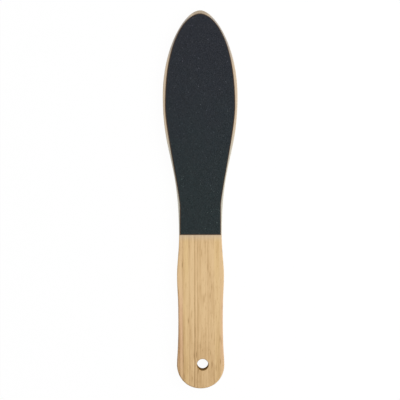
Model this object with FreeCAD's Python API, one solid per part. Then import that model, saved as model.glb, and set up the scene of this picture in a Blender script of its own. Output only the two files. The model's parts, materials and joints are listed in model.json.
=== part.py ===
import FreeCAD, Part
import os

# Foot file: a flat wooden paddle with an abrasive sheet glued to each face of its head.
# X runs across the paddle, Y along it with the rounded tip at +Y, and Z up through its thickness.
# The file lies on its fine face. The origin is under the middle of its length and width.

# The wooden paddle
length = 265.0
board_thickness = 8.0
head_width = 52.4
head_widest_from_tip = 60.2
neck_width = 29.9
neck_from_end = 107.7
swell_width = 32.9
swell_from_end = 80.3
waist_width = 31.2
waist_from_end = 47.0
end_width = 33.2

# How its edges are eased
head_edge_radius = 0.5
handle_edge_radius = 1.2

# The hanging hole, which is drilled a little to the right of the middle
hole_diameter = 8.0
hole_from_end = 16.8
hole_off_middle = 1.4
hole_rim_chamfer = 0.4

# The abrasive sheets, set in from the paddle's edges and cut off square at the neck
sheet_tip_margin = 2.35
sheet_head_margin = 1.65
sheet_neck_margin = 0.6
sheet_widest_below_head = 6.9
sheet_slim_above_neck = 19.7

# The layers of a sheet, from the wood outwards
adhesive_thickness = 0.15
backing_thickness = 0.30
coarse_grit_thickness = 0.30
fine_grit_thickness = 0.15

# How far each curve of an outline holds its first and last direction, of the span that it covers
tip_across_share = 0.387
head_flank_share = 0.589
below_head_share = 0.424
above_neck_share = 0.537
below_neck_share = 0.42
above_swell_share = 0.25
below_swell_share = 0.42
above_waist_share = 0.68
below_waist_share = 0.66
above_end_share = 0.2
end_flank_share = 0.52
end_across_share = 0.62
sheet_tip_across_share = 0.347
sheet_flank_share = 0.766
sheet_below_head_share = 0.232
sheet_above_slim_share = 0.134

# Places along the paddle
tip_y = length / 2
end_y = -length / 2
head_y = tip_y - head_widest_from_tip
neck_y = end_y + neck_from_end
swell_y = end_y + swell_from_end
waist_y = end_y + waist_from_end
end_round_y = end_y + end_width / 2

# Heights of the layers, from the surface that the file lies on
fine_backing_z = fine_grit_thickness
fine_adhesive_z = fine_backing_z + backing_thickness
board_z = fine_adhesive_z + adhesive_thickness
coarse_adhesive_z = board_z + board_thickness
coarse_backing_z = coarse_adhesive_z + adhesive_thickness
coarse_grit_z = coarse_backing_z + backing_thickness


def curve(points):
    """An edge that leaves its first point towards the second and reaches its last from the third."""
    bezier = Part.BezierCurve()
    bezier.setPoles([FreeCAD.Vector(x, y, 0) for x, y in points])
    return bezier.toShape()


def rounded_end(half_width, outer_y, widest_y, across_share, flank_share):
    """Half of a rounded end: square across where it is outermost, along the file where it is widest."""
    flank = flank_share * (outer_y - widest_y)
    return curve([
        (0, outer_y),
        (across_share * half_width, outer_y),
        (half_width, widest_y + flank),
        (half_width, widest_y),
    ])


def side_curve(half_from, y_from, half_to, y_to, from_share, to_share):
    """A stretch of the side between two widths, running straight along the file at both ends."""
    span = y_to - y_from
    return curve([
        (half_from, y_from),
        (half_from, y_from + from_share * span),
        (half_to, y_to - to_share * span),
        (half_to, y_to),
    ])


def line(x_from, y_from, x_to, y_to):
    return Part.makeLine(FreeCAD.Vector(x_from, y_from, 0), FreeCAD.Vector(x_to, y_to, 0))


def mirrored(edges):
    """The same edges on the other side of the file's middle line."""
    return [edge.mirror(FreeCAD.Vector(), FreeCAD.Vector(1, 0, 0)) for edge in edges]


def closed_wire(edges):
    return Part.Wire(Part.sortEdges(edges)[0])


def board_outline():
    """The right side from the tip to the end of the handle, and its mirror."""
    head = head_width / 2
    neck = neck_width / 2
    swell = swell_width / 2
    waist = waist_width / 2
    end = end_width / 2
    side = [
        rounded_end(head, tip_y, head_y, tip_across_share, head_flank_share),
        side_curve(head, head_y, neck, neck_y, below_head_share, above_neck_share),
        side_curve(neck, neck_y, swell, swell_y, below_neck_share, above_swell_share),
        side_curve(swell, swell_y, waist, waist_y, below_swell_share, above_waist_share),
        side_curve(waist, waist_y, end, end_round_y, below_waist_share, above_end_share),
        rounded_end(end, end_y, end_round_y, end_across_share, end_flank_share),
    ]
    return closed_wire(side + mirrored(side))


def hole_outline():
    centre = FreeCAD.Vector(hole_off_middle, end_y + hole_from_end, 0)
    return Part.Wire(Part.makeCircle(hole_diameter / 2, centre))


def edge_radius(edge):
    """The radius that eases an edge of a flat face. The hole's rims have none, and an edge between the
    swell and the waist has none of its own: along it the rounding grows from the head's to the handle's."""
    middle_y = edge.BoundBox.Center.y
    if edge.isClosed():
        return None
    if middle_y > swell_y:
        return head_edge_radius
    if middle_y < waist_y:
        return handle_edge_radius
    return None


def eased(board):
    """The board with the edges of both its flat faces rounded in one go."""
    radii = []
    for number, edge in enumerate(board.Edges, 1):
        lies_flat = edge.BoundBox.ZLength < board_thickness / 2
        if lies_flat and edge_radius(edge):
            radii.append((number, edge_radius(edge), edge_radius(edge)))
    document = FreeCAD.newDocument("paddle")
    sharp = document.addObject("Part::Feature", "sharp")
    sharp.Shape = board
    rounded = document.addObject("Part::Fillet", "rounded")
    rounded.Base = sharp
    rounded.Edges = radii
    document.recompute()
    return rounded.Shape


def paddle():
    """The board, cut out to its outline, drilled, eased along its edges and chamfered round its hole."""
    blank = Part.Face([board_outline(), hole_outline()])
    board = eased(blank.extrude(FreeCAD.Vector(0, 0, board_thickness)))
    hole_rims = [edge for edge in board.Edges if edge.isClosed()]
    return board.makeChamfer(hole_rim_chamfer, hole_rims)


def sheet_outline():
    """Like the head's outline, a margin inside it, and cut straight across at the neck."""
    widest = head_width / 2 - sheet_head_margin
    slim = neck_width / 2 - sheet_neck_margin
    top_y = tip_y - sheet_tip_margin
    widest_y = head_y - sheet_widest_below_head
    slim_y = neck_y + sheet_slim_above_neck
    below = sheet_below_head_share
    above = sheet_above_slim_share
    side = [
        rounded_end(widest, top_y, widest_y, sheet_tip_across_share, sheet_flank_share),
        side_curve(widest, widest_y, slim, slim_y, below, above),
        line(slim, slim_y, slim, neck_y),
    ]
    cut = line(slim, neck_y, -slim, neck_y)
    return closed_wire(side + [cut] + mirrored(side))


def sheet_layer(thickness):
    return Part.Face(sheet_outline()).extrude(FreeCAD.Vector(0, 0, thickness))


def save(name, shape, z):
    """Writes a piece at its height."""
    placed = shape.translated(FreeCAD.Vector(0, 0, z))
    placed.exportStep(f"parts/{name}.step")
    print(f"{name}: {len(placed.Solids)} solid, {placed.Volume:.1f} mm3, valid {placed.isValid()}")


os.makedirs("parts", exist_ok=True)
save("fine_grit", sheet_layer(fine_grit_thickness), 0)
save("fine_backing", sheet_layer(backing_thickness), fine_backing_z)
save("fine_adhesive", sheet_layer(adhesive_thickness), fine_adhesive_z)
save("paddle", paddle(), board_z)
save("coarse_adhesive", sheet_layer(adhesive_thickness), coarse_adhesive_z)
save("coarse_backing", sheet_layer(backing_thickness), coarse_backing_z)
save("coarse_grit", sheet_layer(coarse_grit_thickness), coarse_grit_z)
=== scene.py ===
import json
import math
from collections import namedtuple

import bmesh
import bpy
import numpy
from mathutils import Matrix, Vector


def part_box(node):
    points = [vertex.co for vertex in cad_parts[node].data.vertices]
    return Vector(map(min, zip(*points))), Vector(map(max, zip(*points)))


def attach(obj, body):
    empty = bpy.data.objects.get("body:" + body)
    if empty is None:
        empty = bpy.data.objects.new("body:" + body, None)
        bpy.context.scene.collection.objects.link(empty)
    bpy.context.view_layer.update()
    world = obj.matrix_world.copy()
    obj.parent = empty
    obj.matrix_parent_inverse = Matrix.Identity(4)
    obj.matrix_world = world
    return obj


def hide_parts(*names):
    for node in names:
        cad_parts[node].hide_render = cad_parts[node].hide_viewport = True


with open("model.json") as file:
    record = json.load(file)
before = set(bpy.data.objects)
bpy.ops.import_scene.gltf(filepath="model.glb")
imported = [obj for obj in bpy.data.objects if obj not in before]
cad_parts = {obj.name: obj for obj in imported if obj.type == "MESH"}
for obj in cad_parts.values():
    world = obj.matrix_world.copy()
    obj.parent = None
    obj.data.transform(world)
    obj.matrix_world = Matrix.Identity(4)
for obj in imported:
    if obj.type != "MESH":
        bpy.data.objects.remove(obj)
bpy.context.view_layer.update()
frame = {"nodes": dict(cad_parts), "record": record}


# The paddle
# One flat board of beech carries everything. It is sawn to outline, drilled for a hook and sanded,
# with no varnish. The saw cut the growth rings nearly flat, so they show as long lines on its face.

HANDLE_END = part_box("paddle")[0][1]
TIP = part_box("paddle")[1][1]
BOARD_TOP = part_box("paddle")[1][2]
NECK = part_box("coarse_grit")[0][1]
HOLE_CENTRE = frame["record"]["mounts"][0]["pos_m"]
HOLE_RADIUS = frame["record"]["mounts"][0]["dims"]["r_mm"] / 1000

# A pattern of marks: how wide and long one mark is, where the pattern starts, and how fine it goes
Marks = namedtuple("Marks", "across along start detail roughness", defaults=((0.0, 0.0, 0.0), 2.0, 0.5))


def paint(red, green, blue):
    """A colour as a paint chart gives it, 0 to 255, in the linear numbers that a shader takes."""
    shares = [value / 255 for value in (red, green, blue)]
    linear = [s / 12.92 if s <= 0.04045 else ((s + 0.055) / 1.055) ** 2.4 for s in shares]
    return (*linear, 1.0)


def places_from(start, *distances):
    """Places along the board at distances from a start."""
    return tuple(start + distance for distance in distances)


# The growth rings are uneven circles about a pith line that runs along the board, under its face.
# They have the radii of their last, darkest wood, and darken through their growth, from 0 to 1.
PITH_X = 0.0008
PITH_Z = -0.0054
PITH_SLOPE = 0.001
RING_RADII = (
    0.0, 0.0042, 0.0063, 0.0081, 0.0102, 0.0126, 0.01430,
    0.01483, 0.01664, 0.0195, 0.0226, 0.0246, 0.0265, 0.0300)
BOLD_RING = RING_RADII[7]
GROWTH_DARKNESS = ((0.0, 0.0), (0.30, 0.10), (0.65, 0.34), (0.88, 0.56), (0.965, 1.0), (1.0, 0.0))
RING_DARKNESS = 0.55

# How far the rings wander from true circles
RING_WANDER = 0.0016
SLOW_WANDER = Marks(0.030, 0.075, detail=0.0)
QUICK_WANDER = Marks(0.006, 0.012, (2.0, 5.0, 0.0), detail=1.0)
QUICK_SHARE = 0.25

# Where they break off, left of which place they run on unbroken, and where they fade on the right
RING_BREAKS = Marks(0.006, 0.013, (3.0, 1.0, 0.0))
BREAK_CLOUDS = (0.44, 0.58)
BROKEN_DARKNESS = 0.30
UNBROKEN_ASIDE = (-0.0006, 0.0010)
RIGHT_ASIDE = (0.0085, 0.0115)
RIGHT_DARKNESS = 0.35

# A darker ring on the left, a bold streak, and a shallow straight dark line of painted shade along the left
# edge, which faces
# away from the light: the place and half widths of each, how far along the handle it goes, and how dark it is
LEFT_RING_ASIDE = -0.0131
LEFT_RING_HALF_WIDTHS = (0.0004, 0.0010)
LEFT_RING_MIDDLE = HANDLE_END + 0.0340
LEFT_RING_HALF_LENGTHS = (0.0100, 0.0270)
LEFT_RING_EXTRA = 0.7
STREAK_HALF_WIDTHS = (0.00006, 0.00024)
STREAK_ALONG = places_from(HANDLE_END, 0.0275, 0.0775)
STREAK_DARKNESS = (0.50, 0.15)
LEFT_EDGE_SHADE_X = -0.0146
LEFT_EDGE_SHADE_HALF_WIDTHS = (0.00005, 0.00036)
LEFT_EDGE_SHADE_ALONG = places_from(HANDLE_END, 0.0075, 0.0725)
LEFT_EDGE_SHADE_HEIGHTS = (BOARD_TOP - 0.0010, BOARD_TOP - 0.0001)
LEFT_EDGE_SHADE_DARKNESS = 0.80

# Clouds of lighter and darker wood, and the short dark spindles among them. A spindle's half widths are
# shares of its cell. Each cell draws a number from 0 to 1, and its spindle darkens between the two given.
CLOUD_MIDDLE = 0.5
BROAD_CLOUDS = Marks(0.0030, 0.080)
MIDDLING_CLOUDS = Marks(0.0012, 0.022, (0.0, 4.0, 1.0))
FINE_CLOUDS = Marks(0.00045, 0.010, detail=3.0, roughness=0.6)
FIBRES = Marks(0.00016, 0.0045, (0.0, 2.0, 8.0), detail=3.0, roughness=0.6)
FLECKS = Marks(0.0014, 0.0130)
PORES = Marks(0.0006, 0.0040, (4.0, 9.0, 0.0))
FLECK_DRAWS = (0.20, 1.0)
PORE_DRAWS = (0.10, 1.0)
SPINDLE_HALF_SHARES = (0.08, 0.30)

# How much each of these lightens the plain wood or darkens it
PLAIN_TONE = 1.04
RING_AND_EDGE_SHADE_TONE = -0.80
CLOUD_TONES = ((BROAD_CLOUDS, 0.40), (MIDDLING_CLOUDS, 0.60), (FINE_CLOUDS, 0.65), (FIBRES, 0.30))
FLECK_TONE = -0.75
PORE_TONE = -0.40

# The wood is darker outside one ring, towards the handle's end and at the neck
OUTER_RADII = (0.0192, 0.0196)
OUTER_TONE = -0.10
END_ALONG = places_from(HANDLE_END, 0.0025, 0.0605)
END_TONE = -0.24
NECK_ALONG = places_from(HANDLE_END, 0.0775, 0.1025)
NECK_TONE = -0.08

# Bands of paler and darker wood along the handle, the last of them a painted highlight on its right edge,
# which faces
# the light: how far aside of the pith line each one lies, its half widths, the stretch in which it changes,
# and its tone below that stretch and above it
Band = namedtuple("Band", "aside half_widths along tones")
BANDS_AND_EDGE_HIGHLIGHT = (
    Band(-0.0075, (0.0035, 0.0050), places_from(HANDLE_END, 0.0225, 0.0375), (0.08, 0.00)),
    Band(-0.0039, (0.0008, 0.0018), places_from(HANDLE_END, 0.0445, 0.0945), (-0.13, -0.12)),
    Band(-0.0021, (0.0006, 0.0014), places_from(HANDLE_END, 0.0325, 0.0625), (0.12, 0.04)),
    Band(0.0058, (0.0014, 0.0022), places_from(HANDLE_END, 0.0100, 0.0300), (-0.05, -0.14)),
    Band(0.0112, (0.0006, 0.0016), places_from(HANDLE_END, 0.0100, 0.0300), (-0.07, -0.10)),
    # Painted highlight: the right edge of the handle, which faces the soft box, is painted paler
    Band(0.0150, (0.0012, 0.0028), places_from(HANDLE_END, 0.0725, 0.1025), (0.12, 0.25)),
)

# The colours of the wood, from its darkest tone to its lightest
WOOD_COLOURS = (
    (0.0, paint(146, 108, 64)),
    (0.45, paint(200, 163, 113)),
    (0.75, paint(219, 183, 133)),
    (1.0, paint(233, 199, 149)),
)

# One ring leans to yellow, and the wood outside it to red, both unevenly
UNEVEN_HUES = Marks(0.006, 0.050, (7.0, 2.6, 2.0), detail=1.0)
YELLOW_FROM = (0.0163, 0.0171)
YELLOW_TO = (0.0186, 0.0191)
YELLOW_CLOUDS = (0.30, 0.60)
YELLOW_SHARES = (0.25, 0.60)
YELLOW_TINT = (1.0, 1.0, 0.88, 1.0)
RED_FROM = (0.0189, 0.0197)
RED_MIDDLE = HANDLE_END + 0.0415
RED_HALF_LENGTHS = (0.012, 0.036)
RED_SHARES = (0.70, 0.12)
RED_CLOUDS = (0.30, 0.55)
LEAST_RED = 0.55
RED_TINT = (0.98, 0.88, 1.00, 1.0)

# The rim round each sheet, and how far a face has to look up or down to be part of it
FLATNESS = (0.2, 0.8)
RIM_ALONG = places_from(NECK, -0.0052, 0.0018)
RIM_SHARE = 0.75
RIM_COLOUR = paint(210, 194, 172)
RUBBED_FROM = places_from(NECK, -0.0002, 0.0013)
RUBBED_TO = places_from(NECK, 0.0500, 0.0800)
RUBBED_SHARE = 0.9
RUBBED_COLOUR = paint(204, 202, 188)
WORN_FROM = places_from(TIP, -0.0405, -0.0225)
WORN_TO = places_from(TIP, -0.0060, -0.0025)
WORN_SHARE = 0.72
WORN_COLOUR = paint(173, 170, 165)
TIP_ALONG = places_from(TIP, -0.0040, -0.0020)
TIP_SHARE = 0.5
TIP_COLOUR = paint(150, 136, 118)

# The cut ends of the fibres, and the wall of the hole, whose colour is painted shade for the shade inside the
# hole
ENDWAYS = (0.45, 1.0)
CUT_END_SHARE = 0.45
CUT_END_COLOUR = paint(176, 138, 94)
HOLE_WALL_RADII = (HOLE_RADIUS + 0.00005, HOLE_RADIUS + 0.00020)
HOLE_WALL_SHARE = 0.92
HOLE_SHADE_COLOUR = paint(144, 104, 18)

# The sanded surface
SANDED_CLOUDS = (0.3, 0.7)
SANDED_ROUGHNESS = (0.66, 0.54)
SANDED_SHINE = 0.35
PORE_DEPTH = -0.8
FIBRE_STRENGTH = 0.25
FIBRE_HEIGHT = 0.00008


def new_node(tree, kind, values=None, **options):
    """A node with its options set, and each of its named inputs given a value or a link."""
    made = tree.nodes.new(kind)
    for name, option in options.items():
        setattr(made, name, option)
    for name, value in (values or {}).items():
        if isinstance(value, bpy.types.NodeSocket):
            tree.links.new(value, made.inputs[name])
        else:
            made.inputs[name].default_value = value
    return made


def reckon(tree, operation, *numbers):
    """The result of one step of arithmetic on numbers and other nodes' results."""
    return new_node(tree, "ShaderNodeMath", dict(enumerate(numbers)), operation=operation).outputs[0]


def product(tree, first, *others):
    """Numbers and other nodes' results multiplied together."""
    for other in others:
        first = reckon(tree, "MULTIPLY", first, other)
    return first


def vector_step(tree, operation, *vectors):
    """One step of arithmetic on vectors."""
    return new_node(tree, "ShaderNodeVectorMath", dict(enumerate(vectors)), operation=operation).outputs


def split(tree, vector):
    """The three numbers of a vector or colour."""
    return new_node(tree, "ShaderNodeSeparateXYZ", {0: vector}).outputs


def eased_step(tree, value, reach, start=0.0, end=1.0):
    """Goes smoothly from a start to an end while the value passes through a reach."""
    low, high = reach
    values = {"Value": value, "From Min": low, "From Max": high, "To Min": start, "To Max": end}
    return new_node(tree, "ShaderNodeMapRange", values, interpolation_type="SMOOTHSTEP").outputs[0]


def near(tree, value, middle, half_widths, inside=1.0, outside=0.0):
    """One number near a middle and another far from it, easing over between two half widths."""
    off_middle = reckon(tree, "ABSOLUTE", reckon(tree, "SUBTRACT", value, middle))
    return eased_step(tree, off_middle, half_widths, inside, outside)


def ramp(tree, value, stops):
    """Colours laid out along a value from 0 to 1."""
    made = new_node(tree, "ShaderNodeValToRGB", {"Fac": value})
    elements = made.color_ramp.elements
    elements[0].position, elements[0].color = stops[0]
    elements[1].position, elements[1].color = stops[-1]
    for position, colour in stops[1:-1]:
        elements.new(position).color = colour
    return made.outputs["Color"]


def grey(shade):
    return (shade, shade, shade, 1.0)


def blended(tree, share, first, second, way="MIX"):
    """The first colour with a share of the second mixed in."""
    values = {0: share, 6: first, 7: second}
    return new_node(tree, "ShaderNodeMix", values, data_type="RGBA", blend_type=way).outputs[2]


def laid_out(tree, place, marks):
    """Places in a pattern of marks, one mark to a unit."""
    scale = (1 / marks.across, 1 / marks.along, 1 / marks.across)
    values = {"Vector": place, "Location": marks.start, "Scale": scale}
    return new_node(tree, "ShaderNodeMapping", values).outputs[0]


def cloudy(tree, place, marks):
    """Soft random clouds between 0 and 1."""
    values = {"Vector": laid_out(tree, place, marks), "Scale": 1.0}
    values.update({"Detail": marks.detail, "Roughness": marks.roughness})
    return new_node(tree, "ShaderNodeTexNoise", values).outputs[0]


def celled(tree, place, marks):
    """Random cells, each with a colour of its own and the distance from its middle."""
    values = {"Vector": laid_out(tree, place, marks), "Scale": 1.0}
    return new_node(tree, "ShaderNodeTexVoronoi", values).outputs


def new_finish(name):
    """A material, its tree, its surface shader and the object's own coordinates."""
    finish = bpy.data.materials.new(name)
    finish.use_nodes = True
    tree = finish.node_tree
    place = new_node(tree, "ShaderNodeTexCoord").outputs["Object"]
    return finish, tree, tree.nodes["Principled BSDF"], place


def rings_at(tree, place):
    """The distance from the pith line, with the wander of a living trunk, and how far aside of it."""
    x, y, z = split(tree, place)
    slow = cloudy(tree, place, SLOW_WANDER)
    quick = cloudy(tree, place, QUICK_WANDER)
    wander = reckon(tree, "MULTIPLY_ADD", quick, QUICK_SHARE, slow)
    mean_wander = RING_WANDER * (1 + QUICK_SHARE) / 2
    from_pith = reckon(tree, "MULTIPLY_ADD", wander, RING_WANDER, -PITH_X - mean_wander)
    aside = reckon(tree, "ADD", x, from_pith)
    above = reckon(tree, "SUBTRACT", reckon(tree, "MULTIPLY_ADD", y, PITH_SLOPE, z), PITH_Z)
    spot = new_node(tree, "ShaderNodeCombineXYZ", {"X": aside, "Z": above}).outputs[0]
    return vector_step(tree, "LENGTH", spot)["Value"], aside


def ring_marks_and_edge_shade(tree, place, radius, aside):
    """How dark the growth rings make the wood, more and more through a ring and most in its last wood, with
    painted shade along the left edge of the lower handle.
    """
    last, outermost = len(RING_RADII) - 1, RING_RADII[-1]
    numbered = [(ring / outermost, grey(number / last)) for number, ring in enumerate(RING_RADII)]
    count = ramp(tree, reckon(tree, "DIVIDE", radius, outermost), numbered)
    growth = reckon(tree, "FRACT", product(tree, count, last))
    dark = ramp(tree, growth, [(at, grey(darkness)) for at, darkness in GROWTH_DARKNESS])

    # They run on unbroken on the left, break off here and there on the right, and grow faint far right
    broken = eased_step(tree, cloudy(tree, place, RING_BREAKS), BREAK_CLOUDS, BROKEN_DARKNESS, 1.0)
    unbroken = eased_step(tree, aside, UNBROKEN_ASIDE, 1.0, 0.0)
    kept = reckon(tree, "MAXIMUM", broken, unbroken)
    right = eased_step(tree, aside, RIGHT_ASIDE, 1.0, RIGHT_DARKNESS)
    dark = product(tree, dark, RING_DARKNESS, kept, right)

    # One of them is darker on the left of the lower handle
    x, y, z = split(tree, place)
    left = near(tree, aside, LEFT_RING_ASIDE, LEFT_RING_HALF_WIDTHS)
    left = product(tree, left, near(tree, y, LEFT_RING_MIDDLE, LEFT_RING_HALF_LENGTHS))
    dark = product(tree, dark, reckon(tree, "MULTIPLY_ADD", left, LEFT_RING_EXTRA, 1.0))

    # One ring stands out as a bold streak, and a straight line of painted shade follows the left edge of the
    # lower handle
    streak = product(tree, near(tree, radius, BOLD_RING, STREAK_HALF_WIDTHS), unbroken)
    streak = product(tree, streak, eased_step(tree, y, STREAK_ALONG, *STREAK_DARKNESS))
    # Painted shade: a dark line on the left edge of the lower handle, which faces away from the soft box
    left_edge_shade = near(tree, x, LEFT_EDGE_SHADE_X, LEFT_EDGE_SHADE_HALF_WIDTHS)
    left_edge_shade = product(tree, left_edge_shade, eased_step(tree, y, LEFT_EDGE_SHADE_ALONG, LEFT_EDGE_SHADE_DARKNESS, 0.0))
    left_edge_shade = product(tree, left_edge_shade, eased_step(tree, z, LEFT_EDGE_SHADE_HEIGHTS))
    return reckon(tree, "ADD", dark, reckon(tree, "ADD", streak, left_edge_shade))


def spindles(tree, place, marks, draws):
    """Short dark marks along the grain, one in each of some cells of a pattern."""
    cells = celled(tree, place, marks)
    body = eased_step(tree, cells["Distance"], SPINDLE_HALF_SHARES, 1.0, 0.0)
    drawn = split(tree, cells["Color"])["X"]
    return product(tree, body, eased_step(tree, drawn, draws))


def wood_tone_and_painted_edges(tree, place, radius, aside, pores):
    """How light the wood is, from 0 to 1, with painted shade on the left edge of the lower handle and a
    painted highlight on its right edge.
    """
    y = split(tree, place)["Y"]
    flecks = spindles(tree, place, FLECKS, FLECK_DRAWS)
    tone = reckon(tree, "MULTIPLY_ADD", ring_marks_and_edge_shade(tree, place, radius, aside), RING_AND_EDGE_SHADE_TONE, PLAIN_TONE)
    for marks, strength in CLOUD_TONES:
        clouds = reckon(tree, "SUBTRACT", cloudy(tree, place, marks), CLOUD_MIDDLE)
        tone = reckon(tree, "MULTIPLY_ADD", clouds, strength, tone)
    tone = reckon(tree, "MULTIPLY_ADD", flecks, FLECK_TONE, tone)
    tone = reckon(tree, "MULTIPLY_ADD", pores, PORE_TONE, tone)
    outer = eased_step(tree, radius, OUTER_RADII, 0.0, OUTER_TONE)
    end = eased_step(tree, y, END_ALONG, END_TONE, 0.0)
    neck = eased_step(tree, y, NECK_ALONG, 0.0, NECK_TONE)
    for change in (outer, end, neck):
        tone = reckon(tree, "ADD", tone, change)
    for band in BANDS_AND_EDGE_HIGHLIGHT:
        here = near(tree, aside, band.aside, band.half_widths)
        change = product(tree, here, eased_step(tree, y, band.along, *band.tones))
        tone = reckon(tree, "ADD", tone, change)
    return tone


def hued(tree, place, radius, wood):
    """The wood with its yellow ring, and its red outside that, most of all in the lower handle."""
    y = split(tree, place)["Y"]
    uneven = cloudy(tree, place, UNEVEN_HUES)
    ring = product(tree, eased_step(tree, radius, YELLOW_FROM), eased_step(tree, radius, YELLOW_TO, 1.0, 0.0))
    yellow = product(tree, ring, eased_step(tree, uneven, YELLOW_CLOUDS, *YELLOW_SHARES))
    wood = blended(tree, yellow, wood, YELLOW_TINT, "MULTIPLY")
    lower = near(tree, y, RED_MIDDLE, RED_HALF_LENGTHS, *RED_SHARES)
    red = product(tree, eased_step(tree, radius, RED_FROM), lower)
    red = product(tree, red, eased_step(tree, uneven, RED_CLOUDS, LEAST_RED, 1.0))
    return blended(tree, red, wood, RED_TINT, "MULTIPLY")


def worn(tree, place, flatways, wood):
    """The wood with the rim round each sheet, which was rubbed pale when the sheet was pressed on. It is
    worn cream at the neck, where fingers rub it, greyer below the tip and darker at the tip."""
    y = split(tree, place)["Y"]
    on_flat = eased_step(tree, flatways, FLATNESS)
    rim = product(tree, eased_step(tree, y, RIM_ALONG, 0.0, RIM_SHARE), on_flat)
    wood = blended(tree, rim, wood, RIM_COLOUR)
    for start, end, share, colour in (
        (RUBBED_FROM, RUBBED_TO, RUBBED_SHARE, RUBBED_COLOUR),
        (WORN_FROM, WORN_TO, WORN_SHARE, WORN_COLOUR),
    ):
        stretch = product(tree, eased_step(tree, y, start, 0.0, share), eased_step(tree, y, end, 1.0, 0.0))
        wood = blended(tree, product(tree, stretch, on_flat), wood, colour)
    return blended(tree, eased_step(tree, y, TIP_ALONG, 0.0, TIP_SHARE), wood, TIP_COLOUR)


def hole_wall(tree, place):
    """How much of the hole's wall a place is. The wall is rough, and its colour is painted darker and browner
    as painted shade for the shade inside the hole.
    """
    off_hole = vector_step(tree, "SUBTRACT", place, HOLE_CENTRE)["Vector"]
    level = vector_step(tree, "MULTIPLY", off_hole, (1.0, 1.0, 0.0))["Vector"]
    from_hole = vector_step(tree, "LENGTH", level)["Value"]
    return eased_step(tree, from_hole, HOLE_WALL_RADII, HOLE_WALL_SHARE, 0.0)


def wood_finish():
    finish, tree, surface, place = new_finish("sanded_beech")
    radius, aside = rings_at(tree, place)
    pores = spindles(tree, place, PORES, PORE_DRAWS)
    facing = split(tree, new_node(tree, "ShaderNodeTexCoord").outputs["Normal"])
    flatways = reckon(tree, "ABSOLUTE", facing["Z"])
    endways = reckon(tree, "ABSOLUTE", facing["Y"])
    hole_wall_shade_and_roughness = hole_wall(tree, place)

    wood = ramp(tree, wood_tone_and_painted_edges(tree, place, radius, aside, pores), WOOD_COLOURS)
    wood = hued(tree, place, radius, wood)
    wood = worn(tree, place, flatways, wood)
    wood = blended(tree, eased_step(tree, endways, ENDWAYS, 0.0, CUT_END_SHARE), wood, CUT_END_COLOUR)
    # Painted shade: the hole's wall is painted darker and browner for the shade inside the hole
    wood = blended(tree, hole_wall_shade_and_roughness, wood, HOLE_SHADE_COLOUR)
    tree.links.new(wood, surface.inputs["Base Color"])

    sanded = eased_step(tree, cloudy(tree, place, BROAD_CLOUDS), SANDED_CLOUDS, *SANDED_ROUGHNESS)
    tree.links.new(reckon(tree, "MAXIMUM", sanded, hole_wall_shade_and_roughness), surface.inputs["Roughness"])
    surface.inputs["Specular IOR Level"].default_value = SANDED_SHINE
    height = reckon(tree, "MULTIPLY_ADD", pores, PORE_DEPTH, cloudy(tree, place, FIBRES))
    relief = {"Strength": FIBRE_STRENGTH, "Distance": FIBRE_HEIGHT, "Height": height}
    tree.links.new(new_node(tree, "ShaderNodeBump", relief).outputs[0], surface.inputs["Normal"])
    return finish


def dress(node, finish):
    """Gives a CAD node's object its finish."""
    for slot in frame["nodes"][node].material_slots:
        slot.material = finish


dress("paddle", wood_finish())


# The glue films
# A film of pressure-sensitive glue under each sheet holds it to the wood. It is clear amber and soft,
# and shows only along its cut edge.

GLUE_STREAKS = Marks(0.0015, 0.004, detail=3.0)
GLUE_COLOURS = ((0.3, paint(166, 132, 82)), (0.7, paint(196, 164, 112)))
GLUE_CLOUDS = (0.3, 0.7)
GLUE_ROUGHNESS = (0.32, 0.48)


def glue_finish():
    finish, tree, surface, place = new_finish("amber_glue")
    streaks = cloudy(tree, place, GLUE_STREAKS)
    tree.links.new(ramp(tree, streaks, GLUE_COLOURS), surface.inputs["Base Color"])
    tree.links.new(eased_step(tree, streaks, GLUE_CLOUDS, *GLUE_ROUGHNESS), surface.inputs["Roughness"])
    return finish


amber_glue = glue_finish()
dress("coarse_adhesive", amber_glue)
dress("fine_adhesive", amber_glue)


# The paper backings
# Each sheet's body is stout brown kraft paper, cut to the head's outline with a die. It shows as a
# thin dark brown line round the grit.

PAPER_FIBRES = Marks(0.00025, 0.0012, detail=4.0, roughness=0.65)
PULP_CLOUDS = Marks(0.003, 0.003, (5.0, 0.0, 0.0))
FIBRE_SHARE = 0.6
PULP_SHARE = 0.4
PAPER_COLOURS = ((0.3, paint(56, 39, 26)), (0.5, paint(74, 52, 34)), (0.7, paint(92, 67, 45)))
PAPER_ROUGHNESS = 0.9
PAPER_FIBRE_STRENGTH = 0.4
PAPER_FIBRE_HEIGHT = 0.00005


def paper_finish():
    finish, tree, surface, place = new_finish("brown_kraft_paper")
    fibres = cloudy(tree, place, PAPER_FIBRES)
    pulp = cloudy(tree, place, PULP_CLOUDS)
    mixed = reckon(tree, "MULTIPLY_ADD", pulp, PULP_SHARE, product(tree, fibres, FIBRE_SHARE))
    tree.links.new(ramp(tree, mixed, PAPER_COLOURS), surface.inputs["Base Color"])
    surface.inputs["Roughness"].default_value = PAPER_ROUGHNESS
    relief = {"Strength": PAPER_FIBRE_STRENGTH, "Distance": PAPER_FIBRE_HEIGHT, "Height": fibres}
    tree.links.new(new_node(tree, "ShaderNodeBump", relief).outputs[0], surface.inputs["Normal"])
    return finish


kraft_paper = paper_finish()
dress("coarse_backing", kraft_paper)
dress("fine_backing", kraft_paper)


# The resin coats
# A dark resin bonds the grains to each paper. It is rolled on wet and baked hard, so it ends in a
# soft edge just inside the paper's cut edge, and its surface is pimpled by the grains that it drowns.

COAT_MARGIN = 0.00050
COARSE_RESIN = 0.00008
FINE_RESIN = 0.00004
RESIN_EDGE = 0.00003
SAME_POINT = 1e-6
FACES_UP = 0.9

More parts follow.
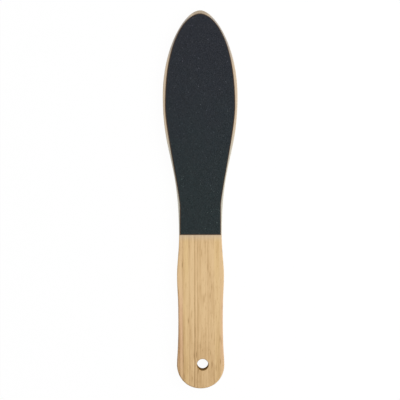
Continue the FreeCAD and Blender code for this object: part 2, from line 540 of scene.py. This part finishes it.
# The dye of the coat drifts in clouds from green at the neck to violet at the tip
DYE_CLOUDS = Marks(0.012, 0.012, (1.0, 6.0, 0.0), detail=1.0)
DYE_DRIFT = 0.05
DYE_ALONG = places_from(NECK, -0.0002, 0.1548)
DYES = (
    (0.0, (0.79, 1.00, 0.88, 1.0)),
    (0.5, (0.86, 0.91, 0.93, 1.0)),
    (1.0, (0.92, 0.79, 0.93, 1.0)),
)

DROWNED_GRAINS = Marks(0.0002, 0.0002)
RESIN_PATCHES = Marks(0.004, 0.004, detail=3.0)
RESIN_COLOURS = ((0.3, paint(27, 34, 39)), (0.7, paint(35, 43, 48)))
RESIN_CLOUDS = (0.3, 0.7)
RESIN_ROUGHNESS = (0.62, 0.74)
RESIN_SHINE = 0.25
PIMPLE_STRENGTH = 0.5
PIMPLE_HEIGHT = 0.00005


def sheet_rim(node):
    """The points round a sheet's outline, in order and anticlockwise, from its CAD node."""
    layer = bmesh.new()
    layer.from_mesh(frame["nodes"][node].data)
    bmesh.ops.remove_doubles(layer, verts=layer.verts, dist=SAME_POINT)
    layer.normal_update()
    top = {face for face in layer.faces if face.normal.z > FACES_UP}
    rim = [edge for edge in layer.edges if len(top.intersection(edge.link_faces)) == 1]
    beside = {}
    for edge in rim:
        first, second = edge.verts
        beside.setdefault(first, []).append(second)
        beside.setdefault(second, []).append(first)
    start = rim[0].verts[0]
    points, last, here = [start.co.xy], start, beside[start][0]
    while here != start:
        points.append(here.co.xy)
        last, here = here, next(v for v in beside[here] if v != last)
    layer.free()
    turning = sum(a.cross(b) for a, b in zip(points, points[1:] + points[:1]))
    return [Vector(p) for p in (points if turning > 0 else reversed(points))]


def set_in(points, margin):
    """An outline moved inwards by a margin."""
    moved = []
    for before, here, after in zip(points[-1:] + points[:-1], points, points[1:] + points[:1]):
        into, out_of = (here - before).normalized(), (after - here).normalized()
        inward = Vector((-into.y - out_of.y, into.x + out_of.x))
        reach = margin * 2 / max(inward.length_squared, 1.0)
        moved.append(here + inward * reach)
    return moved


def stacked(name, rings):
    """A closed mesh through outlines at their heights, from the lowest to the highest."""
    shape = bmesh.new()
    levels = [[shape.verts.new((*point, z)) for point in points] for points, z in rings]
    shape.faces.new(reversed(levels[0]))
    shape.faces.new(levels[-1])
    for low, high in zip(levels, levels[1:]):
        for at in range(len(low)):
            nxt = (at + 1) % len(low)
            shape.faces.new((low[at], low[nxt], high[nxt], high[at]))
    bmesh.ops.triangulate(shape, faces=[face for face in shape.faces if len(face.verts) > 4])
    mesh = bpy.data.meshes.new(name)
    shape.to_mesh(mesh)
    shape.free()
    return mesh


def new_piece(name, mesh, finish, node):
    """Puts a mesh in the scene with one finish, as a piece attached to the root, and hides the CAD node that
    it replaces.
    """
    piece = bpy.data.objects.new(name, mesh)
    mesh.materials.clear()
    mesh.materials.append(finish)
    bpy.context.scene.collection.objects.link(piece)
    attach(piece, "root")
    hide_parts(node)


def dyed(tree, place, colour):
    """A colour of the coat with the dye that it has at a place."""
    y = split(tree, place)["Y"]
    clouds = reckon(tree, "SUBTRACT", cloudy(tree, place, DYE_CLOUDS), CLOUD_MIDDLE)
    drift = reckon(tree, "MULTIPLY_ADD", clouds, DYE_DRIFT, y)
    return blended(tree, 1.0, colour, ramp(tree, eased_step(tree, drift, DYE_ALONG), DYES), "MULTIPLY")


def resin_finish():
    finish, tree, surface, place = new_finish("dark_resin")
    patches = cloudy(tree, place, RESIN_PATCHES)
    resin = dyed(tree, place, ramp(tree, patches, RESIN_COLOURS))
    tree.links.new(resin, surface.inputs["Base Color"])
    tree.links.new(eased_step(tree, patches, RESIN_CLOUDS, *RESIN_ROUGHNESS), surface.inputs["Roughness"])
    surface.inputs["Specular IOR Level"].default_value = RESIN_SHINE
    drowned = celled(tree, place, DROWNED_GRAINS)["Distance"]
    relief = {"Strength": PIMPLE_STRENGTH, "Distance": PIMPLE_HEIGHT, "Height": drowned}
    tree.links.new(new_node(tree, "ShaderNodeBump", relief).outputs[0], surface.inputs["Normal"])
    return finish


def resin_coat(name, node, paper_z, outer_z, finish):
    """A coat from the paper outwards, with a soft outer edge."""
    rim = set_in(sheet_rim(node), COAT_MARGIN)
    slim = set_in(rim, RESIN_EDGE)
    edge_z = outer_z - math.copysign(RESIN_EDGE, outer_z - paper_z)
    rings = [(rim, paper_z), (rim, edge_z), (slim, outer_z)]
    if outer_z < paper_z:
        rings.reverse()
    new_piece(name, stacked(name, rings), finish, node)


dark_resin = resin_finish()
coarse_low, coarse_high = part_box("coarse_grit")
fine_low, fine_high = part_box("fine_grit")
resin_coat("coarse_resin", "coarse_grit", coarse_low[2], coarse_low[2] + COARSE_RESIN, dark_resin)
resin_coat("fine_resin", "fine_grit", fine_high[2], fine_high[2] - FINE_RESIN, dark_resin)


# The grains
# Sharp crushed grains stand in the resin, side by side and turned every way: large ones on the front
# sheet and finer ones on the back. They are what cuts, and their facets give the sheet its dull sparkle.

Grains = namedtuple("Grains", "spacing radius height seed")
COARSE_GRAINS = Grains(0.00034, 0.00023, 0.00013, 11)
COARSE_CHIPS = Grains(0.00031, 0.00014, 0.00008, 13)
FINE_GRAINS = Grains(0.00032, 0.00012, 0.000065, 12)
GRAIN_MARGIN = 0.00065
CHIP_SHOWS = COARSE_CHIPS.height / 4

# The shapes of crushed grain, pointed at top and bottom, with three or four sides between. Each grain
# is so much wider or taller than its kind, and tilts by so much at most.
GRAIN_SIDES = (3, 4)
SLIMMEST, WIDEST = 0.65, 1.25
LOWEST, TALLEST = 0.7, 1.15
MOST_TILT = 0.36
MOST_TRIES = 2.0e7

# Most grains are dark, and a few are painted pale, as painted glints
GRAIN_COLOURS_AND_GLINTS = (
    (0.0, paint(24, 30, 34)),
    (0.6, paint(36, 43, 49)),
    (0.92, paint(48, 55, 61)),
    (0.994, paint(62, 69, 75)),
    (1.0, paint(150, 156, 160)),
)
GRAIN_ROUGHNESS = 0.45
GRAIN_SHINE = 0.35


def grain_finish():
    finish, tree, surface, place = new_finish("crushed_grain")
    tone = new_node(tree, "ShaderNodeAttribute", attribute_name="grain_tone").outputs["Fac"]
    # The few grains at the top of the tones are painted pale: painted glints
    tree.links.new(dyed(tree, place, ramp(tree, tone, GRAIN_COLOURS_AND_GLINTS)), surface.inputs["Base Color"])
    surface.inputs["Roughness"].default_value = GRAIN_ROUGHNESS
    surface.inputs["Specular IOR Level"].default_value = GRAIN_SHINE
    return finish


def grain_tree():
    """Scatters grains over a bed: its own sizes and seed in, one plain mesh out."""
    tree = bpy.data.node_groups.new("grains_on_a_bed", "GeometryNodeTree")
    face = tree.interface
    face.new_socket("Bed", in_out="INPUT", socket_type="NodeSocketGeometry")
    for name in ("Spacing", "Radius", "Height"):
        face.new_socket(name, in_out="INPUT", socket_type="NodeSocketFloat")
    face.new_socket("Seed", in_out="INPUT", socket_type="NodeSocketInt")
    face.new_socket("Finish", in_out="INPUT", socket_type="NodeSocketMaterial")
    face.new_socket("Grains", in_out="OUTPUT", socket_type="NodeSocketGeometry")
    given = tree.nodes.new("NodeGroupInput").outputs

    places = new_node(tree, "GeometryNodeDistributePointsOnFaces", {
        "Mesh": given["Bed"],
        "Distance Min": given["Spacing"],
        "Density Max": MOST_TRIES,
        "Seed": given["Seed"],
    }, distribute_method="POISSON").outputs["Points"]

    shapes = new_node(tree, "GeometryNodeGeometryToInstance")
    for sides in GRAIN_SIDES:
        shape = {"Segments": sides, "Rings": 2, "Radius": 1.0}
        tree.links.new(new_node(tree, "GeometryNodeMeshUVSphere", shape).outputs["Mesh"], shapes.inputs[0])

    def chance(kind, low, high, draw):
        """A value drawn by chance for each grain, another for each draw."""
        drawn = new_node(tree, "FunctionNodeRandomValue", data_type=kind)
        tree.links.new(reckon(tree, "ADD", given["Seed"], draw), drawn.inputs["Seed"])
        sockets = [socket for socket in drawn.inputs if socket.enabled]
        sockets[0].default_value, sockets[1].default_value = low, high
        return next(socket for socket in drawn.outputs if socket.enabled)

    turn = chance("FLOAT_VECTOR", (-MOST_TILT, -MOST_TILT, 0.0), (MOST_TILT, MOST_TILT, math.tau), draw=1.0)
    bulk = chance("FLOAT_VECTOR", (SLIMMEST, SLIMMEST, LOWEST), (WIDEST, WIDEST, TALLEST), draw=2.0)
    radius, height = given["Radius"], given["Height"]
    common = new_node(tree, "ShaderNodeCombineXYZ", {"X": radius, "Y": radius, "Z": height}).outputs[0]
    grains = new_node(tree, "GeometryNodeInstanceOnPoints", {
        "Points": places,
        "Instance": shapes.outputs[0],
        "Pick Instance": True,
        "Instance Index": chance("INT", 0, len(GRAIN_SIDES) - 1, draw=3.0),
        "Rotation": turn,
        "Scale": vector_step(tree, "MULTIPLY", bulk, common)["Vector"],
    }).outputs[0]
    toned = new_node(tree, "GeometryNodeStoreNamedAttribute", {
        "Geometry": grains,
        "Name": "grain_tone",
        "Value": chance("FLOAT", 0.0, 1.0, draw=4.0),
    }, data_type="FLOAT", domain="INSTANCE").outputs[0]
    plain = new_node(tree, "GeometryNodeRealizeInstances", {"Geometry": toned}).outputs[0]
    faceted = new_node(tree, "GeometryNodeSetShadeSmooth", {
        "Geometry": plain,
        "Shade Smooth": False,
    }).outputs[0]
    finished = new_node(tree, "GeometryNodeSetMaterial", {
        "Geometry": faceted,
        "Material": given["Finish"],
    }).outputs[0]
    tree.links.new(finished, tree.nodes.new("NodeGroupOutput").inputs["Grains"])
    return tree


def map_from_above(mesh):
    """Gives a mesh a map of its own, seen from above, that fills the unit square."""
    spots = numpy.empty(3 * len(mesh.vertices))
    mesh.vertices.foreach_get("co", spots)
    spots = spots.reshape(-1, 3)[:, :2]
    spots = (spots - spots.min(axis=0)) / numpy.ptp(spots, axis=0)
    corners = numpy.empty(len(mesh.loops), dtype=int)
    mesh.loops.foreach_get("vertex_index", corners)
    mesh.uv_layers.new(name="OFBake").data.foreach_set("uv", spots[corners].ravel())


def grain_layer(name, node, middle, grains, tree, finish):
    """Grains over the whole of a sheet, with their middles at one height."""
    rim = set_in(sheet_rim(node), GRAIN_MARGIN)
    bed_mesh = bpy.data.meshes.new("bed")
    bed_mesh.from_pydata([(*point, middle) for point in rim], [], [range(len(rim))])
    bed = bpy.data.objects.new("bed", bed_mesh)
    bpy.context.scene.collection.objects.link(bed)
    scatter = bed.modifiers.new("grains", "NODES")
    scatter.node_group = tree
    given = {
        "Spacing": grains.spacing,
        "Radius": grains.radius,
        "Height": grains.height,
        "Seed": grains.seed,
        "Finish": finish,
    }
    for socket in tree.interface.items_tree:
        if socket.name in given:
            scatter[socket.identifier] = given[socket.name]
    seen = bed.evaluated_get(bpy.context.evaluated_depsgraph_get())
    mesh = bpy.data.meshes.new_from_object(seen)
    bpy.data.objects.remove(bed)
    mesh.name = name
    map_from_above(mesh)
    new_piece(name, mesh, finish, node)


crushed_grain = grain_finish()
scatter_grains = grain_tree()
coarse_middle = (coarse_low[2] + coarse_high[2]) / 2
chip_middle = coarse_low[2] + COARSE_RESIN + CHIP_SHOWS
fine_middle = (fine_low[2] + fine_high[2]) / 2
grain_layer("coarse_grains", "coarse_grit", coarse_middle, COARSE_GRAINS, scatter_grains, crushed_grain)
grain_layer("coarse_chips", "coarse_grit", chip_middle, COARSE_CHIPS, scatter_grains, crushed_grain)
grain_layer("fine_grains", "fine_grit", fine_middle, FINE_GRAINS, scatter_grains, crushed_grain)


# The studio
# The file lies on a plain white floor, in soft light from all round and a large soft box above it on
# the right. The camera looks straight down.

FLOOR_SIZE = 4.0
FLOOR_WHITE = (0.9, 0.9, 0.9, 1.0)
FLOOR_ROUGHNESS = 0.8
FLOOR_GLOW = 1.012
GLOW_SHARE = 0.95
PURE_WHITE = (1.0, 1.0, 1.0, 1.0)
SKY_LIGHT = 0.42
SKY_SEEN = 1.0
SOFT_BOX_SIZE = 0.8
SOFT_BOX_POWER = 5.6
SOFT_BOX_PLACE = (0.52, 0.08, 0.70)
CAMERA_PLACE = (-0.00024, -0.00037, 0.553)
CAMERA_ROLL = -0.0018
CAMERA_NEAREST = 0.01
LENS = 70.0
SENSOR_WIDTH = 36.0


def seen_itself(tree):
    """1 for what the camera sees, straight on or in something shiny or clear, and 0 for what it lights."""
    rays = new_node(tree, "ShaderNodeLightPath").outputs
    seen = reckon(tree, "MAXIMUM", rays["Is Camera Ray"], rays["Is Glossy Ray"])
    return reckon(tree, "MAXIMUM", seen, rays["Is Transmission Ray"])


def floor_finish():
    """White, and whiter still to the eye, with what is left of the object's shadow."""
    finish, tree, surface, _ = new_finish("white_floor")
    surface.inputs["Base Color"].default_value = FLOOR_WHITE
    surface.inputs["Roughness"].default_value = FLOOR_ROUGHNESS
    glow = new_node(tree, "ShaderNodeEmission", {"Color": PURE_WHITE, "Strength": FLOOR_GLOW})
    share = product(tree, seen_itself(tree), GLOW_SHARE)
    mixed = new_node(tree, "ShaderNodeMixShader", {0: share, 1: surface.outputs[0], 2: glow.outputs[0]})
    tree.links.new(mixed.outputs[0], tree.nodes["Material Output"].inputs["Surface"])
    return finish


half = FLOOR_SIZE / 2
floor_corners = [(-half, -half, 0), (half, -half, 0), (half, half, 0), (-half, half, 0)]
floor_mesh = bpy.data.meshes.new("floor")
floor_mesh.from_pydata(floor_corners, [], [range(len(floor_corners))])
floor_mesh.materials.append(floor_finish())
floor = bpy.data.objects.new("floor", floor_mesh)
bpy.context.scene.collection.objects.link(floor)

world = bpy.data.worlds.new("studio")
world.use_nodes = True
bpy.context.scene.world = world
sky = world.node_tree
sky_strength = eased_step(sky, seen_itself(sky), (0.0, 1.0), SKY_LIGHT, SKY_SEEN)
sky.nodes["Background"].inputs["Color"].default_value = PURE_WHITE
sky.links.new(sky_strength, sky.nodes["Background"].inputs["Strength"])

soft_box = bpy.data.objects.new("soft_box", bpy.data.lights.new("soft_box", "AREA"))
soft_box.data.size = SOFT_BOX_SIZE
soft_box.data.energy = SOFT_BOX_POWER
soft_box.location = SOFT_BOX_PLACE
soft_box.rotation_euler = (-Vector(SOFT_BOX_PLACE)).to_track_quat("-Z", "Y").to_euler()
bpy.context.scene.collection.objects.link(soft_box)

camera = bpy.data.objects.new("camera", bpy.data.cameras.new("camera"))
camera.data.lens = LENS
camera.data.sensor_width = SENSOR_WIDTH
camera.data.clip_start = CAMERA_NEAREST
camera.location = CAMERA_PLACE
camera.rotation_euler = (0.0, 0.0, CAMERA_ROLL)
bpy.context.scene.collection.objects.link(camera)
bpy.context.scene.camera = camera
bpy.context.scene.view_settings.view_transform = "Standard"
